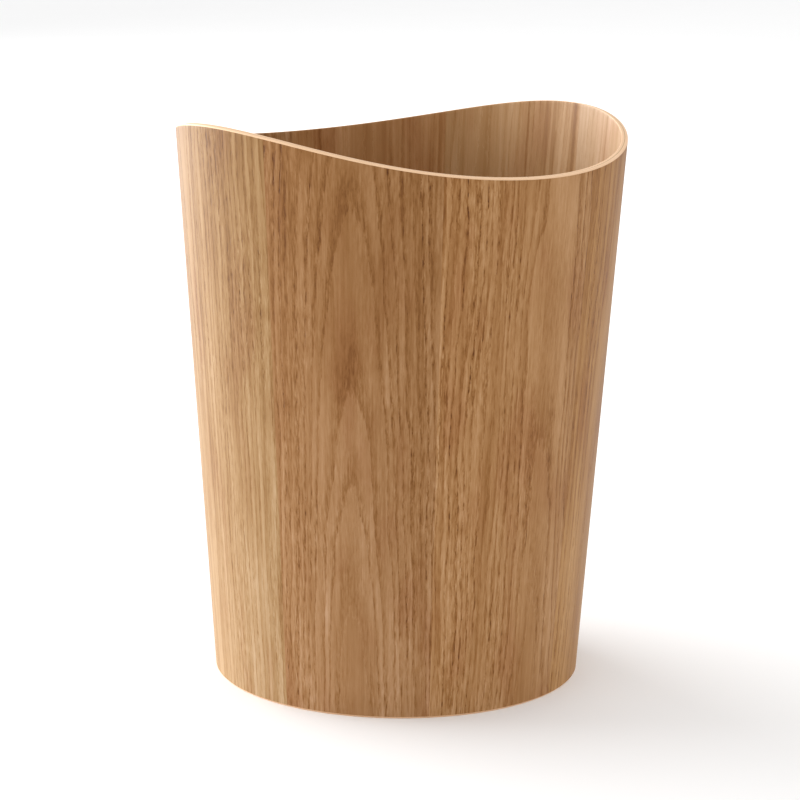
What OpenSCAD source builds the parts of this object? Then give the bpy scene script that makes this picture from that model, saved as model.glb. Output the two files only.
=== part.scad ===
// Round open wastebasket of moulded plywood. The wall is a plain cone of five plies with a saddle-shaped
// rim: it peaks on the X axis and dips on the Y axis. A plywood board closes the bottom and rests on a
// bent ring. Millimetres, +Z up, origin at the centre of the circle that the wall stands on.

/* [Shell] */
// Outer diameter at the floor
base_d = 204; // [150:1:260]
// Outer diameter at the mean rim height
mouth_d = 246; // [205:1:320]
// Mean height of the rim
rim_h = 300; // [200:5:380]
// Rise of the rim's two peaks, and fall of its two dips, from the mean height
rim_wave = 10.8; // [0:0.2:24]
// Extra height at peaks and dips alike, which flattens the dips and sharpens the peaks
rim_flat = 0.8; // [0:0.1:2]
// Fall of the rim's edge from its inner to its outer side
rim_fall = 0.5; // [0:0.1:1]
// Radius rounded over the rim's outer corner
rim_round = 0.7; // [0.6:0.1:1.6]
// Radius eased on the rim's inner corner
rim_ease = 0.3; // [0.1:0.1:0.6]
// Chamfer on both edges of the wall's foot
foot_chamfer = 1.0; // [0.6:0.1:1.4]

/* [Plywood] */
// Thickness of each oak face veneer
face_t = 0.5; // [0.4:0.1:0.6]
// Thickness of each of the two pale cross plies
cross_t = 1.0; // [0.8:0.1:1.2]
// Thickness of the thin darker ply in the middle
core_t = 0.5; // [0.3:0.1:0.8]
// Leaves of oak veneer spliced side by side round each face
leaf_count = 8; // [5:1:12]
// Angle of the outer face's first splice from the X axis
leaf_turn = 18; // [0:1:44]
// Width of the butt joint where a bent ply meets its own end
joint_gap = 0.3; // [0.1:0.1:0.5]

/* [Bottom board] */
// Height of the board's underside above the floor
board_z = 12; // [8:1:30]
// Thickness of the whole board
board_t = 5; // [4:0.5:8]
// Thickness of the ring that holds the board
ring_t = 5; // [3:0.5:8]
// Gap between the ring and the floor
ring_lift = 2; // [1.5:0.5:4]

/* [Hidden] */
$fn = 120;
wall_t = 2 * face_t + 2 * cross_t + core_t;
lean = (mouth_d - base_d) / 2 / rim_h;
leaf_angle = 360 / leaf_count;
// Steps of the rim's cut along one leaf, and the part of a step by which they miss every splice and joint
leaf_steps = 15;
step_angle = leaf_angle / leaf_steps;
step_shift = 0.3;
// How far a blank stands above the highest peak
trim = 2;
blank_h = rim_h + rim_wave + rim_flat + trim;
// Depths from the outer face at which each ply begins and ends
outer_cross_d = face_t;
core_d = face_t + cross_t;
inner_cross_d = core_d + core_t;
inner_face_d = inner_cross_d + cross_t;
// Angles of the butt joints, each half a leaf from the splices next to it
outer_joint = leaf_turn + leaf_angle / 2;
core_joint = outer_joint + 3 * leaf_angle;
inner_joint = outer_joint + 5 * leaf_angle;
// The board has five plies too
board_core_t = board_t - 2 * face_t - 2 * cross_t;
board_lower_z = board_z + face_t;
board_core_z = board_lower_z + cross_t;
board_upper_z = board_core_z + board_core_t;
board_face_z = board_upper_z + cross_t;

OAK = "#B58A5B";
PALE_PLY = "#EBCDA4";
DARK_PLY = "#C99F74";
BEECH = "#D9B48A";

// Height of the rim's inner corner at an angle round the wall
function rim_z(a) = rim_h + rim_wave * cos(2 * a) + rim_flat * cos(4 * a);

// Outer radius of the wall at a height
function wall_r(z) = base_d / 2 + lean * z;

// Distance of a depth from the nearer face of the wall
function from_face(d) = max(0, min(d, wall_t - d));

// Fall of a rounded corner of radius r at a distance from its start
function corner_fall(r, distance) = r - sqrt(pow(r, 2) - pow(max(0, r - max(0, distance)), 2));

// How far the rim's edge lies below its inner corner at a depth
function rim_drop(d) =
    rim_fall * (1 - d / wall_t) + corner_fall(rim_round, d) + corner_fall(rim_ease, wall_t - d);

// How far the chamfered foot lies above the floor at a depth
function foot_lift(d) = max(0, foot_chamfer - from_face(d));

// A point of the wall's section, from its depth and height
function wall_point(d, z) = [wall_r(z) - d, z];

// Section of a ply from depth d0 to d1: chamfered foot, plain top
function ply_section(d0, d1) = [
    for (d = [d0, foot_chamfer, wall_t - foot_chamfer, d1])
        if (d >= d0 && d <= d1) wall_point(d, foot_lift(d)),
    wall_point(d1, blank_h),
    wall_point(d0, blank_h)
];

// Section of the rim's cutter at one angle: the rim's edge below, and a plain top clear of the blank.
// It reaches half a step past the ply on both sides.
function cutter_section(a, d0, d1, steps) =
    let (step = (d1 - d0) / steps, top = blank_h + trim)
    [
        for (k = [-0.5 : steps + 0.5])
            let (d = d0 + k * step) wall_point(d, rim_z(a) - rim_drop(d)),
        wall_point(d1 + step / 2, top),
        wall_point(d0 - step / 2, top)
    ];

// Solid through sections of [radius, height] points that stand at the given angles
module swept(angles, sections, closed) {
    m = len(sections[0]);
    n = len(angles);
    points = [
        for (i = [0 : n - 1]) for (p = sections[i])
            [p.x * cos(angles[i]), p.x * sin(angles[i]), p.y]
    ];
    sides = [
        for (i = [0 : closed ? n - 1 : n - 2]) for (k = [0 : m - 1])
            let (a = i * m + k, b = i * m + (k + 1) % m)
            let (c = ((i + 1) % n) * m + k, d = ((i + 1) % n) * m + (k + 1) % m)
            each [[a, c, d], [a, d, b]]
    ];
    ends = [
        [for (k = [0 : m - 1]) k],
        [for (k = [m - 1 : -1 : 0]) (n - 1) * m + k]
    ];
    polyhedron(points, closed ? sides : concat(sides, ends));
}

// What the rim's cut takes from a ply: all round, or between the steps just past a leaf's two splices
module rim_cutter(d0, d1, steps, start, count, closed) {
    first = floor((start - leaf_turn) / step_angle - step_shift) + step_shift;
    angles = [for (i = [0 : count - 1]) leaf_turn + (first + i) * step_angle];
    swept(angles, [for (a = angles) cutter_section(a, d0, d1, steps)], closed);
}

// One veneer leaf on a face of the wall, between two splices
module leaf(d0, start) {
    difference() {
        rotate(start) rotate_extrude(angle = leaf_angle) polygon(ply_section(d0, d0 + face_t));
        rim_cutter(d0, d0 + face_t, 3, start, leaf_steps + 2, false);
    }
}

// One bent ply that runs all the way round to its butt joint
module bent_ply(d0, t, steps, joint) {
    gap = joint_gap / wall_r(rim_h) * 180 / PI;
    difference() {
        rotate(joint) rotate_extrude(angle = 360 - gap) polygon(ply_section(d0, d0 + t));
        rim_cutter(d0, d0 + t, steps, 0, leaf_count * leaf_steps, true);
    }
}

// One full layer of the bottom board, edged to the wall's slope
module board_layer(z, t) {
    translate([0, 0, z]) cylinder(h = t, r1 = wall_r(z) - wall_t, r2 = wall_r(z + t) - wall_t);
}

// Half a layer of the bottom board: one of two veneer leaves that meet on a splice
module board_leaf(z, start) {
    rotate(start) rotate_extrude(angle = 180)
        polygon([[0, z], wall_point(wall_t, z), wall_point(wall_t, z + face_t), [0, z + face_t]]);
}

module outer_veneer_leaf(i) {
    color(OAK) leaf(0, leaf_turn + (i - 1) * leaf_angle);
}

module outer_cross_ply() {
    color(PALE_PLY) bent_ply(outer_cross_d, cross_t, 2, outer_joint);
}

module core_ply() {
    color(DARK_PLY) bent_ply(core_d, core_t, 1, core_joint);
}

module inner_cross_ply() {
    color(PALE_PLY) bent_ply(inner_cross_d, cross_t, 2, inner_joint);
}

module inner_veneer_leaf(i) {
    color(OAK) leaf(inner_face_d, leaf_turn + (i - 0.5) * leaf_angle);
}

module board_top_veneer(i) {
    color(OAK) board_leaf(board_face_z, i * 180);
}

module board_upper_cross_ply() {
    color(PALE_PLY) board_layer(board_upper_z, cross_t);
}

module board_core_ply() {
    color(PALE_PLY) board_layer(board_core_z, board_core_t);
}

module board_lower_cross_ply() {
    color(PALE_PLY) board_layer(board_lower_z, cross_t);
}

module board_bottom_veneer(i) {
    color(OAK) board_leaf(board_z, i * 180);
}

// Ring of bent beech under the board, with its own butt joint
module board_support_ring() {
    gap = joint_gap / wall_r(board_z) * 180 / PI;
    color(BEECH) rotate(inner_joint) rotate_extrude(angle = 360 - gap) polygon([
        wall_point(wall_t, ring_lift),
        wall_point(wall_t, board_z),
        wall_point(wall_t + ring_t, board_z),
        wall_point(wall_t + ring_t, ring_lift)
    ]);
}

for (i = [1 : leaf_count]) outer_veneer_leaf(i);
outer_cross_ply();
core_ply();
inner_cross_ply();
for (i = [1 : leaf_count]) inner_veneer_leaf(i);
for (i = [1 : 2]) board_top_veneer(i);
board_upper_cross_ply();
board_core_ply();
board_lower_cross_ply();
for (i = [1 : 2]) board_bottom_veneer(i);
board_support_ring();
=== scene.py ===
"""Looks of the moulded-plywood wastebasket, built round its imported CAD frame. Metres throughout."""
import math

import bpy
import numpy as np
from mathutils import Matrix, Vector


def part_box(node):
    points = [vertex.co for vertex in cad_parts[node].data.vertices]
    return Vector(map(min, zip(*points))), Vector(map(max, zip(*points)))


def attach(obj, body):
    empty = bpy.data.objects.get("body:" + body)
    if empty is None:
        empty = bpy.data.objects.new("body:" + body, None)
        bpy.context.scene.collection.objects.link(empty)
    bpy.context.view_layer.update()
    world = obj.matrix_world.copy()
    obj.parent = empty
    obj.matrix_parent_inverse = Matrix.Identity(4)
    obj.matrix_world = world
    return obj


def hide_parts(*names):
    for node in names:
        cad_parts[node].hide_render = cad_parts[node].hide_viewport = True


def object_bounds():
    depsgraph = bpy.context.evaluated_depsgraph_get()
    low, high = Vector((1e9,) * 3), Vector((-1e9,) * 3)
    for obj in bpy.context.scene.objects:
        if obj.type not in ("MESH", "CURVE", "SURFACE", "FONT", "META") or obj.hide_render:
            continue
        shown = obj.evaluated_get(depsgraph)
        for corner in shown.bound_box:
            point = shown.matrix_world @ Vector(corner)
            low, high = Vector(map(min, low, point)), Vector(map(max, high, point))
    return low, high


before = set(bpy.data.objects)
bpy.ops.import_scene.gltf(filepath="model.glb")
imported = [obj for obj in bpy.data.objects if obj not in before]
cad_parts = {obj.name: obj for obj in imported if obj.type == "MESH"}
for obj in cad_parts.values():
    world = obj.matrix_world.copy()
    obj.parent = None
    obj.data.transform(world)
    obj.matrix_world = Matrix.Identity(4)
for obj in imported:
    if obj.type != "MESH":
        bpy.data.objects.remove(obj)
cad_low, cad_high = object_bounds()

MM = 0.001
FACE_T = 0.5 * MM
CROSS_T = 1.0 * MM
CORE_T = 0.5 * MM
WALL_T = 2 * FACE_T + 2 * CROSS_T + CORE_T
INNER_DEPTH = WALL_T - FACE_T
RIM_FLAT = 0.8 * MM
RIM_FALL = 0.5 * MM
RIM_ROUND = 0.7 * MM
RIM_EASE = 0.3 * MM
FOOT_CHAMFER = 1.0 * MM
JOINT_GAP = 0.3 * MM

# Angles in degrees from +X, seen from above
LEAVES = 8
LEAF_ANGLE = 360 / LEAVES
LEAF_TURN = 18
OUTER_JOINT = LEAF_TURN + LEAF_ANGLE / 2
CORE_JOINT = OUTER_JOINT + 3 * LEAF_ANGLE
INNER_JOINT = OUTER_JOINT + 5 * LEAF_ANGLE
FRONT_ANGLE = -127.1    # the direction that faces the camera


# ---------------------------------------------------------------- the wall's shape, read from the frame

def node_points(node):
    """The vertices of a CAD node."""
    return np.array([v.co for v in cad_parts[node].data.vertices])


def wall_cone():
    """Radius of the wall's outer cone at the floor, and its growth per metre of height."""
    points = node_points("outer_veneer_leaf_1")
    radii = np.hypot(points[:, 0], points[:, 1])
    foot = np.where(points[:, 2] < 2 * FOOT_CHAMFER, radii, 0).argmax()
    top = radii.argmax()
    lean = (radii[top] - radii[foot]) / (points[top, 2] - points[foot, 2])
    return radii[foot] - lean * points[foot, 2], lean


def rim_dip():
    """Height of the rim's inner corner where it dips, read from the inner leaf that spans the dip."""
    points = node_points("inner_veneer_leaf_2")
    dips = np.abs(points[:, 0]) < 3 * MM
    return points[dips, 2].max()


BASE_R, LEAN = wall_cone()
RIM_WAVE = (cad_high.z - rim_dip()) / 2
RIM_MEAN = cad_high.z - RIM_WAVE - RIM_FLAT


def wall_r(z):
    """Outer radius of the wall at a height."""
    return BASE_R + LEAN * z


def rim_z(angle):
    """Height of the rim's inner corner at an angle."""
    a = math.radians(angle)
    return RIM_MEAN + RIM_WAVE * math.cos(2 * a) + RIM_FLAT * math.cos(4 * a)


def corner_fall(radius, distance):
    """Fall of a rounded corner at a distance from its start."""
    reach = max(0.0, radius - max(0.0, distance))
    return radius - math.sqrt(radius ** 2 - reach ** 2)


def rim_drop(depth):
    """How far the rim's edge lies below its inner corner at a depth from the outer face."""
    slope = RIM_FALL * (1 - depth / WALL_T)
    return slope + corner_fall(RIM_ROUND, depth) + corner_fall(RIM_EASE, WALL_T - depth)


def foot_lift(depth):
    """How far the chamfered foot lies above the floor at a depth from the outer face."""
    return max(0.0, FOOT_CHAMFER - min(depth, WALL_T - depth))


# ---------------------------------------------------------------- meshes

SUPPORT = 1.5 * MM      # loops this close to a corner keep the smooth shading of the long faces flat
ROWS = 12               # loops up one side of a ply
CREST_STEP = 0.09 * MM  # width of a face across the rim's edge
LEAF_STEPS = 30         # faces round one leaf
PLY_STEPS = 240         # faces round a bent ply
BOARD_STEP = 1.5        # degrees of a face round the board's edge
RING_STEP = 1           # degrees of a face round the support ring
SHARP_ANGLE = 32        # degrees; edges that turn more are shaded as corners


def side_heights(foot, top):
    """Heights of the loops up one side of a ply."""
    low, high = foot + SUPPORT, top - SUPPORT
    return [foot, *np.linspace(low, high, ROWS), top]


def ply_section(depth0, depth1, crest):
    """Closed outline of a ply at one angle: (depth, height, part) points, part 1 on the cut edges."""
    samples = 2 + round((depth1 - depth0) / CREST_STEP)
    depths = np.linspace(depth0, depth1, samples)
    outer = [(depth0, z, 0) for z in side_heights(foot_lift(depth0), crest - rim_drop(depth0))]
    top = [(d, crest - rim_drop(d), 1) for d in depths[1:-1]]
    inner = [(depth1, z, 0) for z in side_heights(foot_lift(depth1), crest - rim_drop(depth1))[::-1]]
    foot = [(d, foot_lift(d), 1) for d in (WALL_T - FOOT_CHAMFER, FOOT_CHAMFER) if depth0 < d < depth1]
    return outer + top + inner + foot


def look_fields(look_of, count):
    """Attributes that carry a leaf's figure, tone and tint to the oak material, for count vertices."""
    figure, tone, tint = look_of
    values = {"figure": figure[:3], "sway": (*figure[3:], 0), "tone": tone, "tint": tint}
    return {key: [value] * count for key, value in values.items()}


def new_object(name, vertices, faces, fields, cut_faces=()):
    """Mesh object with its attributes, smooth shading and sharp corners. Cut faces take material 1."""
    mesh = bpy.data.meshes.new(name)
    mesh.from_pydata(vertices, [], faces)
    for key, values in fields.items():
        layer = mesh.attributes.new(key, "FLOAT_VECTOR", "POINT")
        layer.data.foreach_set("vector", np.asarray(values, np.float32).ravel())
    cut = list(cut_faces) or [False] * len(faces)
    mesh.polygons.foreach_set("material_index", [int(c) for c in cut])
    mesh.shade_smooth()
    mesh.set_sharp_from_angle(angle=math.radians(SHARP_ANGLE))
    mesh.validate()
    made = bpy.data.objects.new(name, mesh)
    bpy.context.scene.collection.objects.link(made)
    return made


def developed(depth, angle, z, middle):
    """Across and along coordinates on the unrolled cone, from a leaf's middle angle."""
    slant = math.hypot(1, LEAN) / LEAN
    reach = (wall_r(z) - depth) * slant
    turn = math.radians(angle - middle) / slant
    return reach * math.sin(turn), reach * math.cos(turn) - (BASE_R - depth) * slant


def wall_piece(name, depth0, depth1, start, span, steps, seed, look_of=None):
    """One ply or leaf of the wall, from angle start over span degrees."""
    angles = [start + span * i / steps for i in range(steps + 1)]
    middle = start + span / 2
    vertices, grain, place = [], [], []
    for angle in angles:
        crest = rim_z(angle)
        a = math.radians(angle)
        section = ply_section(depth0, depth1, crest)
        for depth, z, _ in section:
            r = wall_r(z) - depth
            across, along = developed(depth, angle, z, middle)
            vertices.append((r * math.cos(a), r * math.sin(a), z))
            grain.append((across, along, seed))
            place.append((a * BASE_R, depth, crest - z))
    m = len(section)
    parts = [part for _, _, part in section]
    faces, cut = [], []
    for i in range(steps):
        for k in range(m):
            k1 = (k + 1) % m
            faces.append((i * m + k, (i + 1) * m + k, (i + 1) * m + k1, i * m + k1))
            on_side = parts[k] == 0 and parts[k1] == 0 and section[k][0] == section[k1][0]
            cut.append(not on_side)
    for ring in (range(m), range(steps * m + m - 1, steps * m - 1, -1)):
        faces.append(tuple(ring))
        cut.append(False)
    fields = {"grain": grain, "place": place}
    if look_of:
        fields.update(look_fields(look_of, len(vertices)))
    return new_object(name, vertices, faces, fields, cut)


def hoop(name, section, start, span, seed):
    """A ring of the given (radius, height) section, bent from one strip, with its grain along the arc."""
    steps = round(span / RING_STEP)
    vertices, grain = [], []
    for i in range(steps + 1):
        a = math.radians(start + span * i / steps)
        for r, z in section:
            vertices.append((r * math.cos(a), r * math.sin(a), z))
            grain.append((z + r, a * section[0][0], seed))
    m = len(section)
    faces = []
    for i in range(steps):
        for k in range(m):
            k1 = (k + 1) % m
            faces.append((i * m + k, i * m + k1, (i + 1) * m + k1, (i + 1) * m + k))
    faces.append(tuple(range(m - 1, -1, -1)))
    faces.append(tuple(range(steps * m, steps * m + m)))
    return new_object(name, vertices, faces, {"grain": grain})


def board_piece(name, z0, z1, start, span, seed, turn=0.0, look_of=None):
    """A layer of the bottom board, or a half layer, its grain turned from X by turn degrees."""
    steps = round(span / BOARD_STEP)
    whole = span == 360
    count = steps if whole else steps + 1
    t = math.radians(turn)
    vertices, grain = [], []
    for z in (z0, z1):
        for i in range(count):
            a = math.radians(start + span * i / steps)
            r = wall_r(z) - WALL_T
            vertices.append((r * math.cos(a), r * math.sin(a), z))
            grain.append((r * math.sin(a - t), r * math.cos(a - t), seed))
    faces = [tuple(range(count - 1, -1, -1)), tuple(range(count, 2 * count))]
    for i in range(count):
        j = (i + 1) % count
        faces.append((i, j, count + j, count + i))
    fields = {"grain": grain}
    if look_of:
        fields.update(look_fields(look_of, len(vertices)))
    return new_object(name, vertices, faces, fields)


def stand_for(piece, node, slot, *materials):
    """The piece takes its CAD node's place."""
    for material in materials:
        piece.data.materials.append(material)
    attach(piece, "root")
    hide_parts(node)


# ---------------------------------------------------------------- material nodes

class Graph:
    """Short calls for the nodes of one material. Every call returns an output socket."""

    def __init__(self, name):
        self.material = bpy.data.materials.new(name)
        self.material.use_nodes = True
        self.tree = self.material.node_tree
        self.shader = self.tree.nodes["Principled BSDF"]

    def node(self, kind, values=None, **settings):
        made = self.tree.nodes.new("ShaderNode" + kind)
        for key, value in settings.items():
            setattr(made, key, value)
        for key, value in (values or {}).items():
            self.put(made.inputs[key], value)
        return made

    def put(self, socket, value):
        if isinstance(value, bpy.types.NodeSocket):
            self.tree.links.new(value, socket)
        else:
            socket.default_value = value

    def math(self, operation, a, b=0.0, c=0.0):
        return self.node("Math", {0: a, 1: b, 2: c}, operation=operation).outputs[0]

    def add(self, a, b):
        return self.math("ADD", a, b)

    def times(self, a, b):
        return self.math("MULTIPLY", a, b)

    def scaled(self, value, factor, extra):
        """value * factor + extra."""
        return self.math("MULTIPLY_ADD", value, factor, extra)

    def attribute(self, name):
        vector = self.node("Attribute", attribute_name=name).outputs["Vector"]
        return self.node("SeparateXYZ", {0: vector}).outputs

    def vector(self, x=0.0, y=0.0, z=0.0):
        return self.node("CombineXYZ", {0: x, 1: y, 2: z}).outputs[0]

    def noise(self, vector, detail=2.0, roughness=0.5):
        """Noise about zero, from -0.5 to 0.5."""
        values = {"Vector": vector, "Scale": 1.0, "Detail": detail, "Roughness": roughness}
        return self.math("SUBTRACT", self.node("TexNoise", values).outputs["Fac"], 0.5)

    def cells(self, vector):
        """Distance to the nearest cell's middle, and the cell's own random number."""
        made = self.node("TexVoronoi", {"Vector": vector, "Scale": 1.0}, voronoi_dimensions="2D")
        colour = self.node("SeparateColor", {0: made.outputs["Color"]})
        return made.outputs["Distance"], colour.outputs[0]

    def ramp(self, value, low, high, out_low=0.0, out_high=1.0):
        """Smooth step of value from low to high."""
        values = {"Value": value, "From Min": low, "From Max": high, "To Min": out_low, "To Max": out_high}
        return self.node("MapRange", values, interpolation_type="SMOOTHSTEP").outputs[0]

    def mix(self, factor, a, b, blend="MIX"):
        made = self.node("Mix", data_type="RGBA", blend_type=blend)
        colours = [s for s in made.inputs if s.type == "RGBA"]
        self.put(made.inputs[0], factor)
        self.put(colours[0], a)
        self.put(colours[1], b)
        return next(s for s in made.outputs if s.type == "RGBA")

    def finish(self, colour, roughness, height, depth, strength):
        """Joins the surface up: colour, roughness and a bump of the given depth in metres."""
        bump = self.node("Bump", {"Height": height, "Distance": depth, "Strength": strength})
        self.put(self.shader.inputs["Base Color"], colour)
        self.put(self.shader.inputs["Roughness"], roughness)
        self.put(self.shader.inputs["Normal"], bump.outputs[0])
        return self.material


def rgb(red, green, blue):
    return (red, green, blue, 1.0)


# ---------------------------------------------------------------- oak

OAK = rgb(0.296, 0.139, 0.045)
OAK_RED = rgb(0.285, 0.120, 0.040)
OAK_IOR = 1.3
OAK_ROUGHNESS = 0.5
OAK_RELIEF = 0.2 * MM
SEED_STEP = 37.7        # how far apart two leaves' noise lies

# Year rings, all in mm
RING_WIDTH = 3.1
HEART_DRIFT = 8.0
ARCH_SWAY = 1.6
HEIGHT_SWAY = 1.6
RING_SPACING = 4.5
RING_WAVE = 1.0
RING_FRAY = 0.9

# Width and length of the cells that hold one pore each, in mm
LONG_PORE = (0.85, 4.4)
SHORT_PORE = (0.75, 2.2)

# What each part of the wood adds to its shade, from dark to pale
FIBRE_SHADE = 1.7
BAND_SHADE = 0.42
YEAR_SHADE = 0.26
YEAR_SHADE_LEAST = 0.03
CLOUD_SHADE = -0.65
LINE_SHADE = -0.36
PORE_SHADE = -0.52
DARKEST = 0.3

# Dark wood is more saturated than light wood, so green and blue fall faster than red
GREEN_POWER = 1.47
BLUE_POWER_PALE = 2.5
BLUE_POWER_DARK = 2.8


class OakGraph(Graph):
    """Nodes of crown-cut oak: year rings cut by a plane. In mm, x across the grain and y along it."""

    def __init__(self, name):
        super().__init__(name)
        x, y, self.seed = self.attribute("grain")
        self.y = self.times(y, 1 / MM)
        # The grain spreads with the cone
        spread = self.scaled(self.y, LEAN / BASE_R * MM, 1.0)
        self.x = self.math("DIVIDE", self.times(x, 1 / MM), spread)
        self.offset = self.times(self.seed, SEED_STEP)

    def field(self, across, along, shift, detail=2.0, roughness=0.5):
        """Noise of the given sizes across and along the grain. Each shift gives another pattern."""
        u = self.scaled(self.x, 1 / across, self.offset)
        v = self.scaled(self.y, 1 / along, shift)
        return self.noise(self.vector(u, v, self.seed), detail, roughness)

    def line(self, value, size, shift):
        """Noise of the given size along one value."""
        return self.noise(self.vector(self.scaled(value, 1 / size, self.offset), shift, self.seed), 1.0)

    def heart_distance(self):
        """Distance sideways from the tree's heart, and the whole distance."""
        centre, height, rise = self.attribute("figure")
        bow, wander, _ = self.attribute("sway")
        away = self.math("SUBTRACT", self.x, self.scaled(self.line(self.y, 120, 3.1), HEART_DRIFT, centre))
        away = self.add(away, self.times(self.field(22, 150, 1.7), wander))
        away = self.add(away, self.times(self.field(6, 45, 5.3), ARCH_SWAY))
        growth = self.math("SUBTRACT", rise, self.times(bow, self.y))
        above = self.scaled(self.y, growth, height)
        above = self.add(above, self.times(self.line(self.y, 60, 9.4), HEIGHT_SWAY))
        return away, self.math("SQRT", self.add(self.times(away, away), self.times(above, above)))

    def year_rings(self, radius):
        """How far into each ring's earlywood a point lies, from 1 to 0, and the year's random number."""
        radius = self.add(radius, self.times(self.line(radius, 6.0, 1.3), RING_SPACING))
        radius = self.add(radius, self.times(self.field(1.8, 22, 7.9), RING_WAVE))
        radius = self.add(radius, self.times(self.field(0.7, 5, 3.9), RING_FRAY))
        rings = self.math("DIVIDE", radius, RING_WIDTH)
        phase = self.math("FRACT", rings)
        whole = self.math("FLOOR", rings)
        year = self.node("TexWhiteNoise", {"W": whole}, noise_dimensions="1D").outputs["Value"]
        early = self.times(self.ramp(phase, 0.0, 0.08), self.ramp(phase, 0.10, 0.6, 1.0, 0.0))
        return self.times(early, self.scaled(year, 0.75, 0.25)), year

    def pore_cells(self, x, size, edge, rare, common):
        """Pores in cells of the given size; those with a random number under rare stay empty."""
        width, length = size
        far, pick = self.cells(self.vector(self.times(x, 1 / width), self.times(self.y, 1 / length)))
        return self.times(self.ramp(far, edge, 0.42, 1.0, 0.0), self.ramp(pick, rare, common))

    def pores(self, early):
        """Long pores in the earlywood, and short ones everywhere."""
        x = self.add(self.x, self.times(self.field(14, 40, 2.2, 1.0), 1.6))
        x = self.add(x, self.times(self.seed, 3.3))
        long_pores = self.pore_cells(x, LONG_PORE, 0.12, 0.2, 0.8)
        short_pores = self.pore_cells(x, SHORT_PORE, 0.1, 0.5, 0.95)
        long_pores = self.times(long_pores, self.scaled(early, 0.9, 0.1))
        short_pores = self.times(short_pores, self.scaled(early, 0.6, 0.3))
        return self.math("MAXIMUM", long_pores, short_pores)


def oak(name, bands=1.0, streaks=0.0):
    """Oak veneer, with broad bands and dark streaks of the given strengths."""
    g = OakGraph(name)
    paleness_and_painted_light, painted_shade_climb, coarseness = g.attribute("tone")
    tint = g.node("Attribute", attribute_name="tint").outputs["Color"]
    away, radius = g.heart_distance()
    early, year = g.year_rings(radius)

    # Grain is fine over the arches and coarse in the straight flanks
    flank = g.math("DIVIDE", g.math("ABSOLUTE", away), radius)
    patches = g.ramp(g.field(15, 90, 12.1), -0.12, 0.12, 0.5, 1.15)
    coarse = g.times(g.times(patches, g.scaled(flank, 0.6, 0.3)), coarseness)
    ink = g.scaled(coarseness, 0.9, 0.1)

    pores = g.times(g.pores(early), coarse)
    fibre = g.times(g.field(0.9, 8, 4.4, 1.0, 0.6), g.times(coarse, g.scaled(early, 0.9, 0.65)))
    strand = g.times(g.times(g.field(1.6, 65, 6.6, 1.0, 0.6), ink), g.scaled(flank, 0.42, 0.34))
    band = g.field(4.5, 200, 6.1, 3.0, 0.6)
    cloud = g.field(20, 80, 8.8)
    lines = g.times(g.times(early, ink), g.scaled(flank, 0.25, 0.8))

    # Painted light and shade: each leaf's paleness is partly painted light on the lit leaves, and its growth
    # with height paints shade that darkens the leaf towards the top
    shade = g.scaled(g.y, painted_shade_climb, paleness_and_painted_light)
    shade = g.scaled(fibre, FIBRE_SHADE, shade)
    shade = g.add(shade, strand)
    shade = g.add(shade, g.times(band, BAND_SHADE * bands))
    shade = g.add(shade, g.scaled(year, YEAR_SHADE, YEAR_SHADE_LEAST))
    shade = g.scaled(cloud, CLOUD_SHADE, shade)
    if streaks:
        streak = g.ramp(g.field(5.0, 300, 2.9, 1.0), 0.1, 0.22)
        shade = g.scaled(streak, -streaks, shade)
    shade = g.scaled(lines, LINE_SHADE, shade)
    shade = g.scaled(pores, PORE_SHADE, shade)
    shade = g.math("MAXIMUM", shade, DARKEST)

    green = g.math("POWER", shade, GREEN_POWER)
    blue_dark = g.math("POWER", shade, BLUE_POWER_DARK)
    blue_pale = g.math("POWER", shade, BLUE_POWER_PALE)
    blue = g.math("MINIMUM", blue_dark, blue_pale)
    deep = g.node("CombineColor", {0: shade, 1: green, 2: blue}).outputs[0]
    wood = g.mix(g.ramp(cloud, 0.0, 0.2, 0.0, 0.5), OAK, OAK_RED)
    # The tint is partly the leaf's own hue and partly painted light: the lower blue of the right-hand leaves
    # takes away part of their sheen
    colour = g.mix(1.0, g.mix(1.0, wood, tint, "MULTIPLY"), deep, "MULTIPLY")
    roughness = g.scaled(pores, 0.2, g.scaled(fibre, 0.15, OAK_ROUGHNESS))
    relief = g.scaled(pores, -0.8, g.times(early, -0.3))
    relief = g.add(relief, g.times(fibre, 0.9))
    g.put(g.shader.inputs["IOR"], OAK_IOR)
    return g.finish(colour, roughness, relief, OAK_RELIEF, 1.0)


# ---------------------------------------------------------------- plies and ring

PALE = rgb(0.84, 0.555, 0.34)
PALE_DARK = rgb(0.66, 0.41, 0.22)
DARK_PLY = rgb(0.60, 0.39, 0.21)
DARK_PLY_DARK = rgb(0.36, 0.20, 0.09)
BEECH = rgb(0.66, 0.43, 0.25)
BEECH_DARK = rgb(0.50, 0.30, 0.16)
EDGE_ROUGHNESS = 0.62
EDGE_RELIEF = 0.04 * MM
PLAIN_ROUGHNESS = 0.6
PLAIN_RELIEF = 0.05 * MM
RELIEF_STRENGTH = 0.6


def cut_edge(name, colour, dark, along, through, contrast):
    """A ply's sanded edge: streaks or specks, along the arc by through the thickness in mm."""
    g = Graph(name)
    arc, depth, below = g.attribute("place")
    u = g.times(arc, 1 / (along * MM))
    v = g.times(depth, 1 / (through * MM))
    w = g.times(below, 1 / (through * MM))
    fine = g.noise(g.vector(u, v, w), 3.0, 0.65)
    broad = g.noise(g.vector(g.times(u, 0.1), v, 4.0))
    amount = g.ramp(g.add(g.times(fine, contrast), g.times(broad, 0.5)), -0.2, 0.5)
    tone = g.mix(amount, colour, dark)
    return g.finish(tone, g.scaled(fine, 0.15, EDGE_ROUGHNESS), fine, EDGE_RELIEF, RELIEF_STRENGTH)


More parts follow.
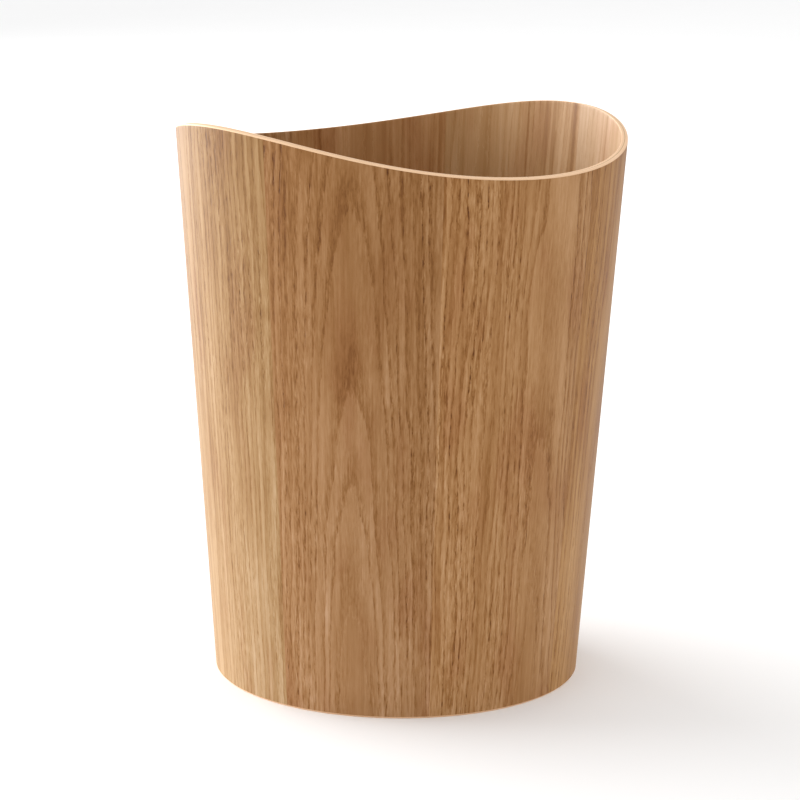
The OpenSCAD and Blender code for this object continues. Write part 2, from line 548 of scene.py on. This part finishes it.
def plain_wood(name, colour, dark, across, along):
    """Straight-grained wood of the hidden plies, board layers and ring, its grain sized in mm."""
    g = Graph(name)
    x, y, seed = g.attribute("grain")
    fine = g.noise(g.vector(g.times(x, 1 / (across * MM)), g.times(y, 1 / (along * MM)), seed), 4.0, 0.6)
    broad = g.noise(g.vector(g.times(x, 1 / (9 * across * MM)), g.times(y, 1 / (4 * along * MM)), seed))
    tone = g.mix(g.ramp(g.add(fine, g.times(broad, 0.8)), -0.25, 0.4), colour, dark)
    return g.finish(tone, g.scaled(fine, 0.15, PLAIN_ROUGHNESS), fine, PLAIN_RELIEF, RELIEF_STRENGTH)


# ---------------------------------------------------------------- the basket

# Figure of a leaf: the arches' middle across the leaf in mm, the heart's distance at the foot in mm, that
# distance's growth per mm of height, how fast the growth falls per mm, and the arches' wander in mm
PLAIN_FIGURE = (0, 14, 0.038, 0, 6)
OUTER_FIGURES = {
    4: (-24, 12.0, -0.012, 0, 6),
    5: (0, 12.7, 0.0462, 0, 6),
    6: (18, 13.8, 0.040, 0.00006, 16),
    7: (0, 36.0, 0.028, 0, 6),
}
INNER_FIGURES = {
    1: (0, 12, 0.012, 0, 6),
    7: (0, 14, 0.012, 0, 6),
    8: (20, 12, 0.01, 0, 6),
}
BOARD_FIGURES = {
    1: (50, 12, 0.02, 0, 6),
    2: (-50, 12, 0.02, 0, 6),
}

# Tone of a leaf: paleness at the foot, its growth per mm of height, and coarseness of the grain. The
# paleness is partly the leaf's own tone and partly painted light, raised on the leaves lit from the left.
# The growth is painted shade that makes each leaf darker towards the top.
PLAIN_TONE = (1.02, 0, 0.9)
OUTER_TONES = {
    1: (1.03, -0.0003, 0.9),
    2: (1.07, -0.0008, 0.8),
    3: (1.16, -0.0022, 0.35),
    4: (1.33, -0.0017, 0.75),
    5: (1.12, -0.0012, 0.9),
    6: (1.11, -0.0004, 1.0),
    7: (1.16, -0.0011, 0.9),
    8: (1.08, -0.0006, 1.0),
}
# Inner leaves 7 and 8 are paler as painted light on the lit inner right wall
INNER_TONES = {
    1: (1.11, 0, 0.35),
    7: (1.5, 0, 0.35),
    8: (1.25, 0, 0.25),
}
BOARD_TONE = (1, 0, 1)

# Tint of a leaf: its red, green and blue against the others. It is partly the leaf's own hue and partly
# painted light: the lower blue of leaves 6 and 7 on the right flank is painted to take away part of the
# sheen there.
PLAIN_TINT = (1.0, 1.0, 1.0)
OUTER_TINTS = {
    1: (1.0, 1.0, 0.98),
    2: (0.98, 1.03, 1.03),
    3: (0.96, 1.06, 1.06),
    4: (0.96, 1.06, 1.08),
    5: (1.0, 1.0, 1.04),
    6: (1.03, 1.0, 0.93),
    7: (1.06, 1.01, 0.78),
    8: (1.03, 1.0, 0.88),
}
INNER_TINTS = {
    1: (1.03, 0.96, 0.84),
    7: (0.98, 1.02, 1.0),
    8: (1.01, 1.01, 0.92),
}

# Numbers that keep the noise of the pieces apart
INNER_SEED = 20
PLY_SEED = 40
BOARD_SEED = 50
BOARD_OAK_SEED = 60
RING_SEED = 70


def outer_look(i):
    return OUTER_FIGURES.get(i, PLAIN_FIGURE), OUTER_TONES.get(i, PLAIN_TONE), OUTER_TINTS.get(i, PLAIN_TINT)


def inner_look(i):
    return INNER_FIGURES.get(i, PLAIN_FIGURE), INNER_TONES.get(i, PLAIN_TONE), INNER_TINTS.get(i, PLAIN_TINT)


def gap_angle(radius):
    """Degrees that a butt joint's gap takes up at a radius."""
    return math.degrees(JOINT_GAP / radius)


def build_leaves(face_edge):
    """The oak veneer on both faces of the wall."""
    outside = oak("oak_outside")
    inside = oak("oak_inside", bands=2.6, streaks=0.3)
    for i in range(1, LEAVES + 1):
        start = LEAF_TURN + (i - 1) * LEAF_ANGLE
        name = f"outer_oak_leaf_{i}"
        leaf = wall_piece(name, 0, FACE_T, start, LEAF_ANGLE, LEAF_STEPS, i, outer_look(i))
        stand_for(leaf, f"outer_veneer_leaf_{i}", "outer_oak_veneer", outside, face_edge)
        start += LEAF_ANGLE / 2
        name = f"inner_oak_leaf_{i}"
        seed = INNER_SEED + i
        leaf = wall_piece(name, INNER_DEPTH, WALL_T, start, LEAF_ANGLE, LEAF_STEPS, seed, inner_look(i))
        stand_for(leaf, f"inner_veneer_leaf_{i}", "inner_oak_veneer", inside, face_edge)


def build_plies(cross_edge, core_edge):
    """The three bent plies between the faces of the wall."""
    ply_face = plain_wood("ply_face", PALE, PALE_DARK, 0.8, 30)
    span = 360 - gap_angle(wall_r(RIM_MEAN))
    plies = (
        ("outer_cross_ply", FACE_T, CROSS_T, OUTER_JOINT, "pale_ply", cross_edge),
        ("core_ply", FACE_T + CROSS_T, CORE_T, CORE_JOINT, "dark_ply", core_edge),
        ("inner_cross_ply", FACE_T + CROSS_T + CORE_T, CROSS_T, INNER_JOINT, "pale_ply", cross_edge),
    )
    for seed, (node, depth, thickness, joint, slot, edge) in enumerate(plies, PLY_SEED):
        ply = wall_piece(f"{node}_bent", depth, depth + thickness, joint, span, PLY_STEPS, seed)
        stand_for(ply, node, slot, ply_face, edge)


def build_wall():
    face_edge = cut_edge("edge_face_veneer", PALE, PALE_DARK, 4.0, 0.25, 0.9)
    cross_edge = cut_edge("edge_cross_ply", PALE, PALE_DARK, 9.0, 0.2, 0.7)
    core_edge = cut_edge("edge_core_ply", DARK_PLY, DARK_PLY_DARK, 0.5, 0.2, 1.0)
    build_leaves(face_edge)
    build_plies(cross_edge, core_edge)


def build_board():
    oak_board = oak("oak_board")
    ply = plain_wood("ply_board", PALE, PALE_DARK, 0.8, 30)
    layers = (("upper_cross_ply", 90), ("core_ply", 0), ("lower_cross_ply", 90))
    for seed, (layer, turn) in enumerate(layers, BOARD_SEED):
        low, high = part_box(f"board_{layer}")
        disc = board_piece(f"board_{layer}_disc", low.z, high.z, 0, 360, seed, turn)
        stand_for(disc, f"board_{layer}", "pale_ply", ply)
    for side in ("top", "bottom"):
        for i in (1, 2):
            node = f"board_{side}_veneer_{i}"
            name = f"board_{side}_oak_{i}"
            low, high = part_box(node)
            board_look = (BOARD_FIGURES[i], BOARD_TONE, PLAIN_TINT)
            half = board_piece(name, low.z, high.z, i * 180, 180, BOARD_OAK_SEED + i, look_of=board_look)
            stand_for(half, node, "board_oak_veneer", oak_board)


def build_ring():
    beech = plain_wood("beech_ring", BEECH, BEECH_DARK, 0.7, 14)
    low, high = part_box("board_support_ring")
    outer = [(wall_r(z) - WALL_T, z) for z in (low.z, high.z)]
    points = node_points("board_support_ring")
    thickness = wall_r(low.z) - WALL_T - np.hypot(points[:, 0], points[:, 1]).min()
    section = [*outer, (outer[1][0] - thickness, high.z), (outer[0][0] - thickness, low.z)]
    ring = hoop("support_ring_bent", section, INNER_JOINT, 360 - gap_angle(wall_r(high.z)), RING_SEED)
    stand_for(ring, "board_support_ring", "beech", beech)


# ---------------------------------------------------------------- floor, light and camera

CAMERA_DISTANCE = 1.483
CAMERA_RISE = 12.11     # degrees above the horizontal
CAMERA_ROLL = 0.648     # degrees
CAMERA_LENS = 119.7     # mm
CAMERA_SENSOR = 36      # mm
CAMERA_REACH = 50
AIM_UP = 1.6 * MM
AIM_RIGHT = 0.54 * MM
KEY_SIDE = -120         # degrees round from the camera, to its right
KEY_RISE = 13           # degrees above the horizontal
KEY_DISTANCE = 3.2
KEY_WIDTH = 4.0
KEY_HEIGHT = 1.7
KEY_WATTS = 180
SKY = rgb(1.0, 1.0, 1.0)
SKY_STRENGTH = 1.0
FLOOR_RADIUS = 10
FLOOR_SIDES = 96
FLOOR_GRAIN = 6         # noise per metre
PAPER = rgb(0.93, 0.93, 0.93)
PAPER_LIGHT = rgb(0.945, 0.945, 0.945)
PAPER_ROUGHNESS = 0.75
PAPER_RELIEF = 0.1 * MM


def basket_middle():
    return Vector((0, 0, RIM_MEAN / 2))


def direction(angle, rise):
    """Unit vector at an angle from +X and a rise, in degrees."""
    a, e = math.radians(angle), math.radians(rise)
    return Vector((math.cos(a) * math.cos(e), math.sin(a) * math.cos(e), math.sin(e)))


def look(thing, place, aim, roll=0.0):
    """Stands a camera or lamp at place, facing aim."""
    back = (place - aim).normalized()
    right = Vector((0, 0, 1)).cross(back).normalized()
    up = back.cross(right)
    c, s = math.cos(math.radians(roll)), math.sin(math.radians(roll))
    turn = Matrix((c * right + s * up, c * up - s * right, back)).transposed()
    thing.matrix_world = Matrix.Translation(place) @ turn.to_4x4()


def add_camera():
    data = bpy.data.cameras.new("camera")
    data.lens = CAMERA_LENS
    data.sensor_width = CAMERA_SENSOR
    data.clip_end = CAMERA_REACH
    camera = bpy.data.objects.new("camera", data)
    bpy.context.scene.collection.objects.link(camera)
    middle = basket_middle()
    right = direction(FRONT_ANGLE + 90, 0)
    place = middle + CAMERA_DISTANCE * direction(FRONT_ANGLE, CAMERA_RISE)
    look(camera, place, middle + Vector((0, 0, AIM_UP)) + AIM_RIGHT * right, CAMERA_ROLL)
    bpy.context.scene.camera = camera


def add_key_lamp():
    """One soft box behind the basket's left side, facing it."""
    data = bpy.data.lights.new("key_left_back", "AREA")
    data.shape = "RECTANGLE"
    data.size = KEY_WIDTH
    data.size_y = KEY_HEIGHT
    data.energy = KEY_WATTS
    lamp = bpy.data.objects.new("key_left_back", data)
    bpy.context.scene.collection.objects.link(lamp)
    middle = basket_middle()
    look(lamp, middle + KEY_DISTANCE * direction(FRONT_ANGLE + KEY_SIDE, KEY_RISE), middle)


def add_floor():
    """A plain pale sheet of paper."""
    g = Graph("studio_floor")
    place = g.node("TexCoord").outputs["Object"]
    grain = g.node("VectorMath", {0: place, 1: (FLOOR_GRAIN,) * 3}, operation="MULTIPLY").outputs[0]
    soft = g.noise(grain, 3.0)
    tone = g.mix(g.add(soft, 0.5), PAPER, PAPER_LIGHT)
    paper = g.finish(tone, g.scaled(soft, 0.1, PAPER_ROUGHNESS), soft, PAPER_RELIEF, 0.3)
    bpy.ops.mesh.primitive_circle_add(vertices=FLOOR_SIDES, radius=FLOOR_RADIUS, fill_type="NGON")
    floor = bpy.context.object
    floor.name = "floor"
    floor.data.materials.append(paper)


def add_world():
    world = bpy.data.worlds.new("studio")
    world.use_nodes = True
    background = world.node_tree.nodes["Background"]
    background.inputs["Color"].default_value = SKY
    background.inputs["Strength"].default_value = SKY_STRENGTH
    bpy.context.scene.world = world


build_wall()
build_board()
build_ring()
add_floor()
add_world()
add_key_lamp()
add_camera()
bpy.context.scene.view_settings.view_transform = "Standard"
